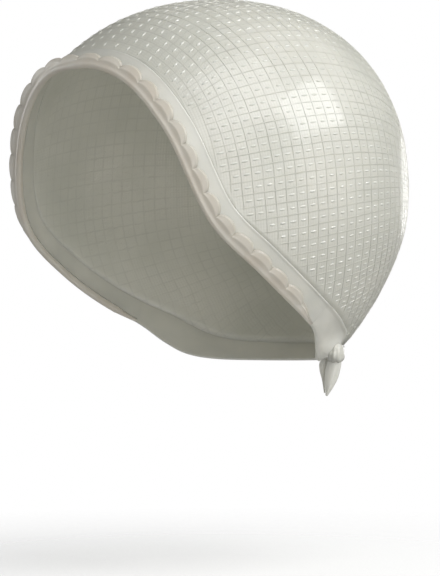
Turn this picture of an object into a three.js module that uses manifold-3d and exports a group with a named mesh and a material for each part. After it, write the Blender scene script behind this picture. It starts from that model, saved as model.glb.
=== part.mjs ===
// A hair highlighting cap: a thin moulded rubber film dome, stretched as it is when worn, with a smooth
// band round its face edge, a scalloped hem turned back over that band, and two ties knotted behind the
// left ear.
// Units are millimetres, +Z is up, the face looks to -Y and the wearer's left is +X.
// The origin is where the top of the head touches the inside of the crown.
import * as THREE from "three";
import { mergeVertices } from "three/addons/utils/BufferGeometryUtils.js";
import Module from "manifold-3d";

const wasm = await Module();
wasm.setup();

// ---------------------------------------------------------------- driving dimensions

// The worn cap follows a head: an egg shape that leans forward as it goes down. Its widest level lies RISE
// below the top, and the part under that level is DROP deep.
const HALF_WIDTH = 75.9;
const HALF_LENGTH = 97;
const RISE = 93.5;
const DROP = 97.3;
const LEAN = 0.12;
const SHOULDER = 2.18; // above the widest level: 2 is a plain ellipsoid, and more fills its shoulders out
const NAPE = 1.7; // below it: less than 2 draws the film in straighter

const GAP = 0.3; // clearance between neighbouring pieces
const CROWN_WALL = 1.2;
const BAND_WALL = 1.4;
const TIE_WALL = 1.5;
const BAND_WIDTH = 12; // from the free edge to the moulded line where the patterned crown starts

// The hem: a round bead along the free edge, and a flap of round petals laid back over the band.
const BEAD_DEPTH = 2.5;
const BEAD_HEIGHT = 3;
const FLAP_WALL = 1.25;
const FLAP_FLOOR = BAND_WALL + 2 * GAP; // the flap's underside, off the head
const PETAL_FIRMNESS = 0.62; // under 1 makes a petal's outline rounder at its shoulders
const BARE_END = 10; // the bead runs on this far past the last petal
const STEPS_PER_PETAL = 6;

// Places on the head are given by two angles in degrees. turn goes round from the middle of the forehead
// (0) over the left ear (90) to the middle of the nape (180), and fall goes down from the top of the head
// (0).
const FREE_EDGE = [
  { turn: 0, fall: 52.5 },
  { turn: 15, fall: 53.4 },
  { turn: 30, fall: 58.9 },
  { turn: 45, fall: 72.2 },
  { turn: 60, fall: 95.6 },
  { turn: 75, fall: 108.9 },
  { turn: 90, fall: 118.3 },
  { turn: 100, fall: 123 },
];

// The petals at even steps along that edge, from the right tie over the forehead to the left tie: how long
// a petal is along the edge, how far its tip and the notches beside it lie from the edge, and how high
// they stand off the head. They stand up steeply over the forehead's right side and lie flatter towards
// the ties.
const PETAL_ROWS = [
  { pitch: 12.5, tip: 6, notch: 4.4, tip_lift: 4, notch_lift: 3.1 },
  { pitch: 12.1, tip: 6, notch: 4.4, tip_lift: 5.4, notch_lift: 4 },
  { pitch: 11.8, tip: 5, notch: 4, tip_lift: 7.5, notch_lift: 6 },
  { pitch: 12.4, tip: 4.8, notch: 3.8, tip_lift: 7.4, notch_lift: 5.9 },
  { pitch: 12.3, tip: 6.4, notch: 4.6, tip_lift: 4.4, notch_lift: 3.7 },
  { pitch: 10.8, tip: 7.6, notch: 4.9, tip_lift: 4.6, notch_lift: 3.5 },
  { pitch: 10.8, tip: 7.2, notch: 4.8, tip_lift: 4.8, notch_lift: 3.4 },
  { pitch: 11.7, tip: 7.4, notch: 5.2, tip_lift: 4.4, notch_lift: 3.2 },
  { pitch: 13.6, tip: 6, notch: 4.6, tip_lift: 4, notch_lift: 3.1 },
];
const BARE_BEAD = { tip: 3.8, notch: 3.8, tip_lift: 3, notch_lift: 3 }; // past the last petal

// The left tie fans out of the band's lower end and hangs to a point in front of the knot. front is its
// face edge, back is the moulded line on its other side, then the notch under the knot.
const LEFT_TIE = [
  { front_turn: 101.4, front_fall: 123.6, back_turn: 115.7, back_fall: 121.6 },
  { front_turn: 104.7, front_fall: 125.5, back_turn: 121.1, back_fall: 123.5 },
  { front_turn: 106.6, front_fall: 126.8, back_turn: 125.4, back_fall: 124.9 },
  { front_turn: 108.3, front_fall: 128.1, back_turn: 127.5, back_fall: 127 },
  { front_turn: 110.6, front_fall: 129.7, back_turn: 119.5, back_fall: 129.6 },
  { front_turn: 112.9, front_fall: 131.2, back_turn: 115.3, back_fall: 130.8 },
  { front_turn: 116, front_fall: 133, back_turn: 116.8, back_fall: 132.6 },
];

// The right tie mirrors that start, then runs round the nape under the crown's hem to the knot. Its turn
// angles count on past the middle of the nape (180), round to the knot on the left.
const RIGHT_TIE = [
  { under_turn: 103.5, under_fall: 125, over_turn: 114.2, over_fall: 121.1 },
  { under_turn: 110.6, under_fall: 129.4, over_turn: 120.3, over_fall: 123.8 },
  { under_turn: 119.7, under_fall: 133.1, over_turn: 128.4, over_fall: 126.7 },
  { under_turn: 133.1, under_fall: 134.8, over_turn: 138.6, over_fall: 128.6 },
  { under_turn: 155, under_fall: 135.1, over_turn: 156, over_fall: 129.4 },
  { under_turn: 180, under_fall: 134.8, over_turn: 180, over_fall: 129.4 },
  { under_turn: 205, under_fall: 134.1, over_turn: 205, over_fall: 129.4 },
  { under_turn: 221, under_fall: 133.1, over_turn: 220, over_fall: 129.2 },
  { under_turn: 232, under_fall: 132.6, over_turn: 229, over_fall: 129.1 },
  { under_turn: 241, under_fall: 132.4, over_turn: 238, over_fall: 130 },
];

// The knot, and the two flat pointed tails that hang from it. A tail's flat side faces its own turn angle.
const KNOT_TURN = 121;
const KNOT_FALL = 130;
const KNOT_WIDTH = 10;
const KNOT_TALL = 9.8;
const KNOT_DEPTH = 8;
const KNOT_WRAP = 0.12; // how deep the groove between its two turns of strap is, as a share of its radius
const TAIL_WALL = 1.3;
const FRONT_TAIL_FACES = 54;
const FRONT_TAIL_OUT = 1.1;
const FRONT_TAIL = [
  { down: 0, side: -0.2, half_width: 2, fold: 0.6 },
  { down: 5.2, side: -1.2, half_width: 2.9, fold: 1.1 },
  { down: 9.4, side: -2, half_width: 3, fold: 1 },
  { down: 13.8, side: -3, half_width: 1.8, fold: 0.7 },
  { down: 17.6, side: -4.1, half_width: 0.4, fold: 0.1 },
];
const BACK_TAIL_FACES = 44;
const BACK_TAIL_OUT = -0.9;
const BACK_TAIL = [
  { down: 0, side: -2, half_width: 2.2, fold: -0.4 },
  { down: 3, side: -4, half_width: 3, fold: -0.7 },
  { down: 6.6, side: -4.4, half_width: 2.7, fold: -0.6 },
  { down: 11, side: -4.2, half_width: 1.8, fold: -0.4 },
  { down: 16.4, side: -4.8, half_width: 0.4, fold: -0.1 },
];

// ---------------------------------------------------------------- the head's surface

const radians = THREE.MathUtils.degToRad;
const degrees = THREE.MathUtils.radToDeg;

// How full the head is at a height over its widest level, and how far it reaches from there.
function shapeAt(height) {
  return height > 0 ? { power: SHOULDER, reach: RISE } : { power: NAPE, reach: DROP };
}

// The outward direction of the head's surface at a point on it.
function outwards(point) {
  const height = point.z + RISE;
  const { power, reach } = shapeAt(height);
  const x = point.x / HALF_WIDTH;
  const y = (point.y - LEAN * point.z) / HALF_LENGTH;
  const fill = Math.hypot(x, y) ** (power - 2);
  const forward = (fill * y) / HALF_LENGTH;
  const upward = (Math.sign(height) * Math.abs(height / reach) ** (power - 1)) / reach;
  return new THREE.Vector3((fill * x) / HALF_WIDTH, forward, upward - LEAN * forward).normalize();
}

// The point at these two angles, raised off the head by lift.
function onHead(turn, fall, lift = 0) {
  const cosFall = Math.cos(radians(fall));
  const { power, reach } = shapeAt(cosFall);
  const across = Math.sin(radians(fall)) ** (2 / power);
  const z = reach * Math.sign(cosFall) * Math.abs(cosFall) ** (2 / power) - RISE;
  const point = new THREE.Vector3(
    HALF_WIDTH * across * Math.sin(radians(turn)),
    -HALF_LENGTH * across * Math.cos(radians(turn)) + LEAN * z,
    z,
  );
  return lift ? point.addScaledVector(outwards(point), lift) : point;
}

// The two angles of a point near the head's surface.
function anglesOf(point) {
  const height = point.z + RISE;
  const { power, reach } = shapeAt(height);
  const x = point.x / HALF_WIDTH;
  const y = (point.y - LEAN * point.z) / HALF_LENGTH;
  const across = Math.hypot(x, y) ** (power / 2);
  const up = Math.sign(height) * Math.abs(height / reach) ** (power / 2);
  return { turn: degrees(Math.atan2(x, -y)), fall: degrees(Math.atan2(across, up)) };
}

function ontoHead(point) {
  const { turn, fall } = anglesOf(point);
  return onHead(turn, fall);
}

// ---------------------------------------------------------------- closed meshes

// A geometry from points and triangles, with equal points merged, flat triangles dropped and its faces
// outwards.
function closedGeometry(points, triangles) {
  const loose = new THREE.BufferGeometry().setFromPoints(points).setIndex(triangles.flat());
  const merged = mergeVertices(loose, 1e-4);
  const index = merged.index.array;
  const position = merged.getAttribute("position");
  const corner = [0, 1, 2].map(() => new THREE.Vector3());
  const kept = [];
  let volume = 0;
  for (let i = 0; i < index.length; i += 3) {
    const [a, b, c] = index.slice(i, i + 3);
    if (a === b || b === c || c === a) continue;
    kept.push([a, b, c]);
    [a, b, c].forEach((vertex, k) => corner[k].fromBufferAttribute(position, vertex));
    volume += corner[0].dot(corner[1].cross(corner[2]));
  }
  merged.setIndex(kept.flatMap(([a, b, c]) => (volume < 0 ? [a, c, b] : [a, b, c])));
  return merged;
}

// A wall between an outer and an inner grid of points, each grid[row][column]. With ring, the columns
// close on themselves. A first row of equal points makes a pole.
function wallBetween(outer, inner, ring = false) {
  const rows = outer.length;
  const columns = outer[0].length;
  const pole = outer[0].every((p) => p.distanceTo(outer[0][0]) < 1e-6);
  const points = [...outer.flat(), ...inner.flat()];
  const outerAt = (row, column) => row * columns + (column % columns);
  const innerAt = (row, column) => rows * columns + outerAt(row, column);
  const triangles = [];
  const quad = (a, b, c, d) => triangles.push([a, b, c], [a, c, d]);
  const lastColumn = ring ? columns : columns - 1;
  for (let row = 0; row < rows - 1; row++)
    for (let column = 0; column < lastColumn; column++) {
      const next = column + 1;
      quad(outerAt(row, column), outerAt(row + 1, column), outerAt(row + 1, next), outerAt(row, next));
      quad(innerAt(row, column), innerAt(row, next), innerAt(row + 1, next), innerAt(row + 1, column));
    }
  for (let column = 0; column < lastColumn; column++) {
    const next = column + 1;
    const last = rows - 1;
    quad(outerAt(last, column), innerAt(last, column), innerAt(last, next), outerAt(last, next));
    if (!pole) quad(outerAt(0, column), outerAt(0, next), innerAt(0, next), innerAt(0, column));
  }
  if (!ring)
    for (let row = 0; row < rows - 1; row++) {
      const end = columns - 1;
      quad(outerAt(row, 0), innerAt(row, 0), innerAt(row + 1, 0), outerAt(row + 1, 0));
      quad(outerAt(row, end), outerAt(row + 1, end), innerAt(row + 1, end), innerAt(row, end));
    }
  return closedGeometry(points, triangles);
}

// A solid lofted through closed sections with the same number of points, with a fan at each end.
function loftSections(sections) {
  const around = sections[0].length;
  const middle = (section) => section.reduce((sum, p) => sum.add(p), new THREE.Vector3()).divideScalar(around);
  const points = [...sections.flat(), middle(sections[0]), middle(sections.at(-1))];
  const firstCentre = sections.length * around;
  const lastRing = (sections.length - 1) * around;
  const triangles = [];
  for (let i = 0; i < around; i++) {
    const next = (i + 1) % around;
    for (let ring = 0; ring < lastRing; ring += around) {
      triangles.push([ring + i, ring + next, ring + around + next]);
      triangles.push([ring + i, ring + around + next, ring + around + i]);
    }
    triangles.push([firstCentre, next, i]);
    triangles.push([firstCentre + 1, lastRing + i, lastRing + next]);
  }
  return closedGeometry(points, triangles);
}

function toSolid(geometry) {
  const bare = geometry.clone();
  bare.deleteAttribute("normal");
  bare.deleteAttribute("uv");
  const merged = mergeVertices(bare, 1e-4);
  return new wasm.Manifold(
    new wasm.Mesh({
      numProp: 3,
      vertProperties: new Float32Array(merged.getAttribute("position").array),
      triVerts: new Uint32Array(merged.index.array),
    }),
  );
}

function toGeometry(solid) {
  const mesh = solid.getMesh();
  return new THREE.BufferGeometry()
    .setAttribute("position", new THREE.BufferAttribute(mesh.vertProperties, 3))
    .setIndex(new THREE.BufferAttribute(mesh.triVerts, 1));
}

// Reads a table at any share of the way down it, on a smooth curve through each column's values.
function smoothTable(table) {
  const columns = Object.keys(table[0]).map((name) => {
    const points = table.map((row, i) => new THREE.Vector3(i, row[name], 0));
    return [name, new THREE.CatmullRomCurve3(points, false, "catmullrom")];
  });
  return (share) => Object.fromEntries(columns.map(([name, curve]) => [name, curve.getPoint(share).y]));
}

function smoothRows(table, steps) {
  const rowAt = smoothTable(table);
  return Array.from({ length: steps + 1 }, (_, i) => rowAt(i / steps));
}

// ---------------------------------------------------------------- the face edge

// The free edge from the right tie over the forehead to the left tie, as a curve in space.
const rightEdgeRows = FREE_EDGE.slice(1).map(({ turn, fall }) => ({ turn: -turn, fall }));
const edgeRows = [...rightEdgeRows.reverse(), ...FREE_EDGE];
const edgeCurve = new THREE.CatmullRomCurve3(edgeRows.map(({ turn, fall }) => onHead(turn, fall)));
edgeCurve.arcLengthDivisions = 800;
const edgeLength = edgeCurve.getLength();

// One station on the free edge: walks from the edge straight towards the crown, and gives the place that
// lies distance across from the edge and lift off the head.
const WALK_STEP = 1;
const WALK_STEPS = 14;
function stationAt(along) {
  const share = along / edgeLength;
  const tangent = edgeCurve.getTangentAt(share);
  const path = [ontoHead(edgeCurve.getPointAt(share))];
  for (let i = 0; i < WALK_STEPS; i++) {
    const here = path.at(-1);
    const across = outwards(here).cross(tangent).normalize();
    path.push(ontoHead(here.clone().addScaledVector(across, WALK_STEP)));
  }
  return (distance, lift) => {
    const step = THREE.MathUtils.clamp(Math.floor(distance / WALK_STEP), 0, WALK_STEPS - 1);
    const place = path[step].clone().lerp(path[step + 1], distance / WALK_STEP - step);
    return place.addScaledVector(outwards(place), lift);
  };
}

// Both ties start a gap past the end of the edge, as wide as the band is there.
const tieStart = stationAt(edgeLength);
const pastTheEnd = edgeCurve.getTangentAt(1).multiplyScalar(GAP);
const tieFront = anglesOf(tieStart(0, 0).add(pastTheEnd));
const tieBack = anglesOf(tieStart(BAND_WIDTH, 0).add(pastTheEnd));
const leftTie = [
  { front_turn: tieFront.turn, front_fall: tieFront.fall, back_turn: tieBack.turn, back_fall: tieBack.fall },
  ...LEFT_TIE,
];
const rightTie = [
  { under_turn: tieFront.turn, under_fall: tieFront.fall, over_turn: tieBack.turn, over_fall: tieBack.fall },
  ...RIGHT_TIE,
];

// Both ties as rows across the strap, a few to every row of their tables.
const ROWS_PER_ROW = 3;
const leftRows = smoothRows(leftTie, ROWS_PER_ROW * (leftTie.length - 1));
const rightRows = smoothRows(rightTie, ROWS_PER_ROW * (rightTie.length - 1));

// ---------------------------------------------------------------- crown

const CROWN_RINGS = 13;
const FACE_COLUMNS = 60;
const HEM_CLEARANCE = 0.35; // degrees of turn and fall between the crown's edge and the ties' upper edges
// The crown's hem follows this much of each tie before it meets the knot.
const LEFT_HEM_ROWS = 4 * ROWS_PER_ROW;
const RIGHT_HEM_ROWS = 9 * ROWS_PER_ROW;

// The crown ends on the moulded line above the band, then on the upper edges of the two ties.
function crownBorder() {
  const face = Array.from({ length: FACE_COLUMNS + 1 }, (_, i) =>
    anglesOf(stationAt((edgeLength * i) / FACE_COLUMNS)(BAND_WIDTH + GAP, 0)),
  );
  const left = leftRows
    .slice(1, LEFT_HEM_ROWS + 1)
    .map((row) => ({ turn: row.back_turn + HEM_CLEARANCE, fall: row.back_fall - HEM_CLEARANCE }));
  const nape = rightRows
    .slice(1, RIGHT_HEM_ROWS + 1)
    .reverse()
    .map((row) => ({ turn: -row.over_turn - HEM_CLEARANCE, fall: row.over_fall - HEM_CLEARANCE }));
  return [...face, ...left, ...nape];
}

function makeCrown() {
  const border = crownBorder();
  const grid = (lift) =>
    Array.from({ length: CROWN_RINGS + 1 }, (_, ring) =>
      border.map(({ turn, fall }) => onHead(turn, (fall * ring) / CROWN_RINGS, lift)),
    );
  return wallBetween(grid(CROWN_WALL), grid(0), true);
}

// ---------------------------------------------------------------- band

const BAND_STATIONS = 80;
const BAND_STRIPS = 2;

function makeBand() {
  const first = BEAD_DEPTH + 1.5 * GAP;
  const grid = (lift) =>
    Array.from({ length: BAND_STATIONS + 1 }, (_, i) => {
      const place = stationAt((edgeLength * i) / BAND_STATIONS);
      return Array.from({ length: BAND_STRIPS + 1 }, (_, k) =>
        place(first + ((BAND_WIDTH - first) * k) / BAND_STRIPS, lift),
      );
    });
  return wallBetween(grid(BAND_WALL), grid(0));
}

// ---------------------------------------------------------------- scalloped frill

// How full the petal is at this share of its pitch: 0 at a notch, 1 in the middle.
function petalFullness(share) {
  return Math.max(0, 1 - (2 * share - 1) ** 2) ** PETAL_FIRMNESS;
}

// One closed section of the hem: the bead at the free edge, then the flap that rises from it to the
// petal's rim.
function frillSection(place, petal, fullness) {
  const width = THREE.MathUtils.lerp(petal.notch, petal.tip, fullness);
  const top = THREE.MathUtils.lerp(petal.notch_lift, petal.tip_lift, fullness);
  const underRim = Math.max(FLAP_FLOOR, top - FLAP_WALL);
  const rim = width - 0.8;
  return [
    place(BEAD_DEPTH, 0.05),
    place(0.8, 0.05),
    place(0.1, 0.9),
    place(0.1, BEAD_HEIGHT * 0.62),
    place(0.9, BEAD_HEIGHT * 0.94),
    place(Math.min(2.2, 0.45 * width), BEAD_HEIGHT),
    place(rim, top),
    place(width, (top + underRim) / 2),
    place(rim, underRim),
    place(BEAD_DEPTH + 0.2, FLAP_FLOOR),
    place(BEAD_DEPTH, FLAP_FLOOR),
  ];
}

// Where one petal ends and the next starts, as distances along the edge from its right end.
function petalNotches(rowAt) {
  const notches = [BARE_END];
  for (;;) {
    const next = notches.at(-1) + rowAt(notches.at(-1) / edgeLength).pitch;
    if (next > edgeLength - BARE_END) return notches;
    notches.push(next);
  }
}

function makeFrill() {
  const rowAt = smoothTable(PETAL_ROWS);
  const notches = petalNotches(rowAt);
  const sectionAt = (along, fullness) => frillSection(stationAt(along), rowAt(along / edgeLength), fullness);
  const sections = [frillSection(stationAt(0), BARE_BEAD, 0)];
  for (let petal = 0; petal < notches.length - 1; petal++)
    for (let step = 0; step < STEPS_PER_PETAL; step++) {
      const share = step / STEPS_PER_PETAL;
      const along = THREE.MathUtils.lerp(notches[petal], notches[petal + 1], share);
      sections.push(sectionAt(along, petalFullness(share)));
    }
  sections.push(sectionAt(notches.at(-1), 0));
  sections.push(frillSection(stationAt(edgeLength), BARE_BEAD, 0));
  return loftSections(sections);
}

// ---------------------------------------------------------------- ties

function makeTie(rows, strips, placeRow) {
  const grid = (lift) =>
    rows.map((row) => Array.from({ length: strips + 1 }, (_, k) => placeRow(row, k / strips, lift)));
  return wallBetween(grid(TIE_WALL), grid(0));
}

function makeLeftTie() {
  return makeTie(leftRows, 4, (row, share, lift) =>
    onHead(
      THREE.MathUtils.lerp(row.front_turn, row.back_turn, share),
      THREE.MathUtils.lerp(row.front_fall, row.back_fall, share),
      lift,
    ),
  );
}

function makeRightTie() {
  return makeTie(rightRows, 3, (row, share, lift) =>
    onHead(
      -THREE.MathUtils.lerp(row.under_turn, row.over_turn, share),
      THREE.MathUtils.lerp(row.under_fall, row.over_fall, share),
      lift,
    ),
  );
}

// ---------------------------------------------------------------- knot and tails

// The knot's own axes: out of the nape, up along it, and sideways round it.
const knotFoot = onHead(KNOT_TURN, KNOT_FALL);
const knotOut = outwards(knotFoot);
const knotSide = new THREE.Vector3(0, 0, 1).cross(knotOut).normalize();
const knotUp = knotOut.clone().cross(knotSide);
const knotLift = TIE_WALL + GAP + (KNOT_DEPTH / 2) * (1 - 0.8 * KNOT_WRAP); // its groove faces the ties
const knotCentre = knotFoot.clone().addScaledVector(knotOut, knotLift);

// Two turns of strap pulled tight: a ball with a slanting groove between them.
function makeKnot(grow = 0) {
  const ball = new THREE.SphereGeometry(1, 20, 14);
  const position = ball.getAttribute("position");
  const p = new THREE.Vector3();
  for (let i = 0; i < position.count; i++) {
    p.fromBufferAttribute(position, i);
    const groove = 1 - KNOT_WRAP * Math.exp(-(((p.y + 0.7 * p.x) / 0.28) ** 2));
    p.set(
      p.x * (KNOT_WIDTH / 2) * groove + p.x * grow,
      p.y * (KNOT_TALL / 2) * groove + p.y * grow,
      p.z * (KNOT_DEPTH / 2) * groove + p.z * grow,
    );
    position.setXYZ(i, p.x, p.y, p.z);
  }
  ball.applyMatrix4(new THREE.Matrix4().makeBasis(knotSide, knotUp, knotOut).setPosition(knotCentre));
  return ball;
}

// A flat strap end that hangs straight down from the knot, creased along its middle, and cut to a point.
function makeTail(table, faces, out) {
  const side = new THREE.Vector3(Math.cos(radians(faces)), Math.sin(radians(faces)), 0);
  const face = new THREE.Vector3(Math.sin(radians(faces)), -Math.cos(radians(faces)), 0);
  const half = TAIL_WALL / 2;
  const sections = smoothRows(table, 12).map((row) => {
    const centre = knotCentre.clone().addScaledVector(side, row.side).addScaledVector(face, out);
    centre.z -= row.down;
    const at = (across, lift) => centre.clone().addScaledVector(side, across).addScaledVector(face, lift);
    return [
      at(-row.half_width, -half * 0.6),
      at(0, row.fold - half),
      at(row.half_width, -half * 0.6),
      at(row.half_width, half * 0.6),
      at(0, row.fold + half),
      at(-row.half_width, half * 0.6),
    ];
  });
  return toGeometry(toSolid(loftSections(sections)).subtract(toSolid(makeKnot(GAP))));
}

// ---------------------------------------------------------------- the assembly

const FILM = { color: 0xcfd0c8, roughness: 0.42, metalness: 0 };
const HEM = { color: 0xcdc4b5, roughness: 0.4, metalness: 0 };

const cap = new THREE.Group();
cap.name = "hair_highlighting_cap";

function addPiece(name, geometry, finish) {
  const mesh = new THREE.Mesh(geometry, new THREE.MeshStandardMaterial(finish));
  mesh.name = name;
  cap.add(mesh);
}

addPiece("crown", makeCrown(), FILM);
addPiece("edge_band", makeBand(), FILM);
addPiece("scalloped_frill", makeFrill(), HEM);
addPiece("left_tie", makeLeftTie(), FILM);
addPiece("right_tie", makeRightTie(), FILM);
addPiece("nape_knot", makeKnot(), FILM);
addPiece("front_tail", makeTail(FRONT_TAIL, FRONT_TAIL_FACES, FRONT_TAIL_OUT), FILM);
addPiece("back_tail", makeTail(BACK_TAIL, BACK_TAIL_FACES, BACK_TAIL_OUT), FILM);

export default cap;
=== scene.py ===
# %% [markdown]
# # A hair highlighting cap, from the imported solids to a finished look
# The cap is one thin film of moulded rubber. When it is worn it is stretched over the head, a band
# without pattern runs along the face, a scalloped hem is turned back over that band, and two ties are
# knotted behind the left ear. The solids of the part are loaded first. They stay where they are, and
# every piece made below takes the place of one of them or lies on it.

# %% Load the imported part
import math
import random

import bmesh
import bpy
from mathutils import Matrix, Vector, kdtree, noise
from mathutils.bvhtree import BVHTree


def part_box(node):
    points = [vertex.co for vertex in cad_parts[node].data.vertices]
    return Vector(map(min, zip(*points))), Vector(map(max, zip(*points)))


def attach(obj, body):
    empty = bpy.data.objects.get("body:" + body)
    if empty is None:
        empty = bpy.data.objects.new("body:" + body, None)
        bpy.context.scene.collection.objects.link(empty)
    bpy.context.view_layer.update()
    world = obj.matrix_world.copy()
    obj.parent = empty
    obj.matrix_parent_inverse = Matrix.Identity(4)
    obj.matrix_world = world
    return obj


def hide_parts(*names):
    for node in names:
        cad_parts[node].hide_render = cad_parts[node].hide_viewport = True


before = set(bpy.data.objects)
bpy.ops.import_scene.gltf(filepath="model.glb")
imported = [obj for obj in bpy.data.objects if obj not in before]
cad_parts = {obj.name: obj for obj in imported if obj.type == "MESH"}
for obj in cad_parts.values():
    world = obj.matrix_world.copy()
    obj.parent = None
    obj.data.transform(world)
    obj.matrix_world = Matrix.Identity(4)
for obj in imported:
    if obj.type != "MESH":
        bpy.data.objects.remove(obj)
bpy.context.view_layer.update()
scene = bpy.context.scene
print("solids:", sorted(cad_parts))

# %% [markdown]
# ## The head that shapes the cap
# The head itself is not made, but its surface gives the worn cap its form. It is an egg that leans
# forward as it goes down. A formula is better than a sculpted blob here, because every piece can ask it
# for a point and for the outward direction there. Lengths are millimetres until a mesh is written.

# %% The head's surface
MM = 0.001
CROWN_WALL = 1.2
HALF_WIDTH = 75.9
HALF_LENGTH = 97
RISE = 93.5  # from the widest level up to the top of the head
DROP = 97.3  # from the widest level down
LEAN = 0.12  # forward for every millimetre down
SHOULDER = 2.18  # over the widest level: 2 is a plain ellipsoid, and more is fuller
NAPE = 1.7  # under it: less than 2 draws the form in straighter
crown_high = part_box("crown")[1] / MM
print("crown's half width less its wall:", round(crown_high.x - CROWN_WALL, 2), "and here", HALF_WIDTH)


def cos_sin(degrees):
    """The cosine and the sine of an angle."""
    return math.cos(math.radians(degrees)), math.sin(math.radians(degrees))


def shape_at(height):
    """The head's fullness and reach at a height over its widest level."""
    return (SHOULDER, RISE) if height > 0 else (NAPE, DROP)


def shares_of(point):
    """A point as shares of the head's size, with the fullness and reach there."""
    height = point.z + RISE
    power, reach = shape_at(height)
    return point.x / HALF_WIDTH, (point.y - LEAN * point.z) / HALF_LENGTH, height / reach, power, reach


def outwards(point):
    """The head's outward direction at a point on it."""
    x, y, up, power, reach = shares_of(point)
    fill = max(math.hypot(x, y), 1e-9) ** (power - 2)
    forward = fill * y / HALF_LENGTH
    upward = math.copysign(abs(up) ** (power - 1), up) / reach
    return Vector((fill * x / HALF_WIDTH, forward, upward - LEAN * forward)).normalized()


def on_head(turn, fall, lift=0.0):
    """The point at two angles: turn round from the forehead over the left ear, fall from the top."""
    cos_fall, sin_fall = cos_sin(fall)
    cos_turn, sin_turn = cos_sin(turn)
    power, reach = shape_at(cos_fall)
    across = sin_fall ** (2 / power)
    z = reach * math.copysign(abs(cos_fall) ** (2 / power), cos_fall) - RISE
    x = HALF_WIDTH * across * sin_turn
    y = -HALF_LENGTH * across * cos_turn + LEAN * z
    point = Vector((x, y, z))
    return point + outwards(point) * lift if lift else point


def angles_of(point):
    """The turn and fall of a point near the head's surface."""
    x, y, up, power, _ = shares_of(point)
    across = math.hypot(x, y) ** (power / 2)
    up = math.copysign(abs(up) ** (power / 2), up)
    return math.degrees(math.atan2(x, -y)), math.degrees(math.atan2(across, up))


def onto_head(point):
    """The place on the head under a point near it."""
    return on_head(*angles_of(point))


# %% How far a piece lies from its solid
def print_distance(obj, node):
    """Prints how far a piece's points lie from its solid."""
    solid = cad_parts[node].data
    corners = [v.co for v in solid.vertices]
    tree = BVHTree.FromPolygons(corners, [list(p.vertices) for p in solid.polygons])
    far = sorted(tree.find_nearest(v.co)[3] / MM for v in obj.data.vertices)
    print(f"{obj.name}: {far[len(far) // 2]:.2f} mm from {node} in the middle, {far[-1]:.2f} at most")

# %% [markdown]
# ## From a flat grid to a piece
# Nearly every piece of this cap is a strip or a skin that follows the head, so one helper makes them:
# it takes a flat grid, gives every point of it a place by a function, and welds what falls together, so
# that a grid that comes back to its start is a closed skin. Modelled by hand, each strip would need far
# more steps and would not follow the head.

# %% Skins from a grid
WELD = 1e-7  # metres; closer points are the same


def skin_from_grid(columns, rows, place, close_ends=True):
    """A mesh from a grid: place(u, v) gives each point in millimetres, with u and v from 0 to 1."""
    bm = bmesh.new()
    bmesh.ops.create_grid(bm, x_segments=columns, y_segments=rows, size=0.5)
    for vertex in bm.verts:
        vertex.co = place(vertex.co.x + 0.5, vertex.co.y + 0.5) * MM
    bmesh.ops.remove_doubles(bm, verts=bm.verts[:], dist=WELD)
    if close_ends:
        ends = [edge for edge in bm.edges if edge.is_boundary]
        bmesh.ops.holes_fill(bm, edges=ends, sides=0)
    return bm


# %% From a skin to a piece
SHARP_ANGLE = 50  # an edge that turns more than this is shaded as a corner


def mesh_from(bm, name, material):
    """Writes the modelled form into a mesh."""
    mesh = bpy.data.meshes.new(name)
    bm.to_mesh(mesh)
    bm.free()
    mesh.materials.append(material)
    return mesh


def object_from(data):
    """Puts a mesh, a light or a camera into the scene."""
    obj = bpy.data.objects.new(data.name, data)
    scene.collection.objects.link(obj)
    return obj


def piece_from(bm, name, material, nodes=()):
    """Makes a piece's object, rides it on the cap and says what it replaces."""
    bmesh.ops.recalc_face_normals(bm, faces=bm.faces[:])
    mesh = mesh_from(bm, name, material)
    for polygon in mesh.polygons:
        polygon.use_smooth = True
    mesh.set_sharp_from_angle(angle=math.radians(SHARP_ANGLE))
    obj = object_from(mesh)
    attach(obj, "root")
    if nodes:
        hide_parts(*nodes)
        print_distance(obj, nodes[0])
    return obj

# %% [markdown]
# ## Smooth curves through short tables
# The outline of the hem and of the ties is a handful of rows, and a smooth curve through them gives
# everything in between. Blender's curve objects could do it, but a short function also works on plain
# numbers such as the length of a petal.

# %% Smooth tables
def smooth_between(values, share, gaps=None):
    """A smooth curve through the values. gaps are the steps between them, all 1 if not given."""
    last = len(values) - 1
    place = min(max(share, 0.0), 1.0) * last
    i = min(int(place), last - 1)
    t = place - i
    here, there = values[i], values[i + 1]
    before = values[i - 1] if i > 0 else here * 2 - there
    after = values[i + 2] if i + 2 <= last else there * 2 - here
    step = gaps[i] if gaps else 1.0
    step_before = gaps[i - 1] if gaps and i > 0 else step
    step_after = gaps[i + 1] if gaps and i + 2 <= last else step

    def slope(a, b, c, first, second):
        return ((b - a) / first - (c - a) / (first + second) + (c - b) / second) * step

    slope_in = slope(before, here, there, step_before, step)
    slope_out = slope(here, there, after, step, step_after)
    bend = (2 * t**3 - 3 * t**2 + 1) * here + (t**3 - 2 * t**2 + t) * slope_in
    return bend + (3 * t**2 - 2 * t**3) * there + (t**3 - t**2) * slope_out


def smooth_row(table, share):
    """One row of a table, read at any share of the way down it."""
    return [smooth_between(column, share) for column in zip(*table)]


def mixed_rows(first, second, share):
    """A row between two rows."""
    return tuple(a + (b - a) * share for a, b in zip(first, second))

# %% [markdown]
# ## The free edge along the face
# On the real cap this is the edge that frames the face: high over the forehead, down past the temples
# and in front of the ears to the ties. Its left half is a short table of turn and fall, and the right
# half is its mirror image. From any place on it, a walk over the head towards the crown gives the
# places of the hem, the band and the moulded line, so they all run parallel to the edge.

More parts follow.
